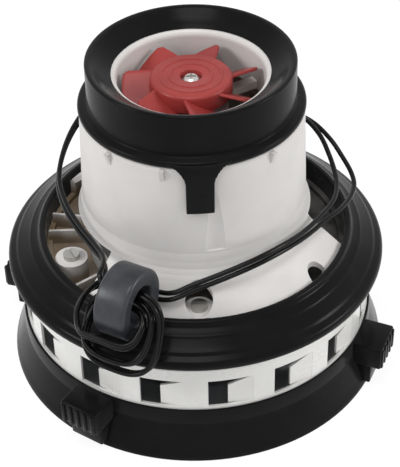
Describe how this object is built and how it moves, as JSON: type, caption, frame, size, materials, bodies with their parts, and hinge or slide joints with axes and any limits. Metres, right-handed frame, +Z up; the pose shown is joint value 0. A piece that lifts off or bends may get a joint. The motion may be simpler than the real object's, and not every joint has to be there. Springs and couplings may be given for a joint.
{
  "type": "vacuum motor unit",
  "caption": "Bypass vacuum motor: louvred fan case under a white motor housing with a red cooling fan, rubber mounts, and a wire lead through a ferrite core.",
  "frame": {"origin": "centre of the base seal's opening, on the rest plane", "axes": "+Z up along the motor axis, front of the motor towards -Y, +X to the right"},
  "size_m": [0.1648, 0.1622, 0.1368],
  "materials": {
    "black_rubber": "satin black moulded rubber",
    "wire_sleeve": "smooth black wire sleeve",
    "white_paint": "white enamel on sheet steel",
    "white_plastic": "off-white moulded plastic",
    "red_plastic": "red moulded plastic",
    "steel": "plain steel",
    "sheet_aluminium": "pressed aluminium sheet",
    "copper": "enamelled copper",
    "brass": "plain brass",
    "carbon": "pressed carbon",
    "ferrite": "matt grey sintered ferrite"
  },
  "bodies": {
    "motor_frame": {"base_seal": "black_rubber", "fan_case": "white_paint", "case_cover": "white_paint", "mid_ring": "black_rubber", "motor_housing": "white_plastic", "top_mount": "black_rubber", "housing_screws": "steel", "stage_plate": "sheet_aluminium", "return_guide": "sheet_aluminium", "stator_core": "steel", "field_coil_front": "copper", "field_coil_back": "copper", "brush_holder_right": "brass", "brush_holder_left": "brass", "brush_spring_right": "steel", "brush_spring_left": "steel", "upper_bearing_outer": "steel", "lower_bearing_outer": "steel", "ferrite_core": "ferrite", "lead_grommet": "black_rubber", "lead_connector": "white_plastic", "live_feed": "wire_sleeve", "live_winding": "wire_sleeve", "live_tail": "wire_sleeve", "neutral_feed": "wire_sleeve", "neutral_winding": "wire_sleeve", "neutral_tail": "wire_sleeve"},
    "rotor": {"shaft": "steel", "armature_core": "steel", "armature_winding": "copper", "commutator": "copper", "cooling_fan": "red_plastic", "fan_washer": "steel", "fan_screw": "steel", "impeller_upper": "sheet_aluminium", "impeller_lower": "sheet_aluminium", "impeller_spacer": "steel", "bearing_spacer": "steel", "impeller_washer": "steel", "impeller_nut": "steel", "upper_bearing_inner": "steel", "lower_bearing_inner": "steel"},
    "upper_balls": {"upper_bearing_balls": "steel"},
    "lower_balls": {"lower_bearing_balls": "steel"},
    "right_brush": {"brush_right": "carbon"},
    "left_brush": {"brush_left": "carbon"}
  },
  "joints": [
    {"name": "rotor_spin", "type": "hinge", "parent": "motor_frame", "child": "rotor", "pos_m": [0, 0, 0.06], "axis": [0, 0, 1], "continuous": true},
    {"name": "upper_ball_spin", "type": "hinge", "parent": "motor_frame", "child": "upper_balls", "pos_m": [0, 0, 0.1125], "axis": [0, 0, 1], "continuous": true},
    {"name": "lower_ball_spin", "type": "hinge", "parent": "motor_frame", "child": "lower_balls", "pos_m": [0, 0, 0.0445], "axis": [0, 0, 1], "continuous": true},
    {"name": "right_brush_slide", "type": "slide", "parent": "motor_frame", "child": "right_brush", "axis": [1, 0, 0], "range_m": [0, 0.005], "stiffness_N_per_m": 200, "springref_m": -0.006, "deforming": ["brush_spring_right"]},
    {"name": "left_brush_slide", "type": "slide", "parent": "motor_frame", "child": "left_brush", "axis": [-1, 0, 0], "range_m": [0, 0.005], "stiffness_N_per_m": 200, "springref_m": -0.006, "deforming": ["brush_spring_left"]}
  ],
  "couplings": [
    {"joint": "upper_ball_spin", "follows": "rotor_spin", "ratio": 0.3679},
    {"joint": "lower_ball_spin", "follows": "rotor_spin", "ratio": 0.3679}
  ]
}
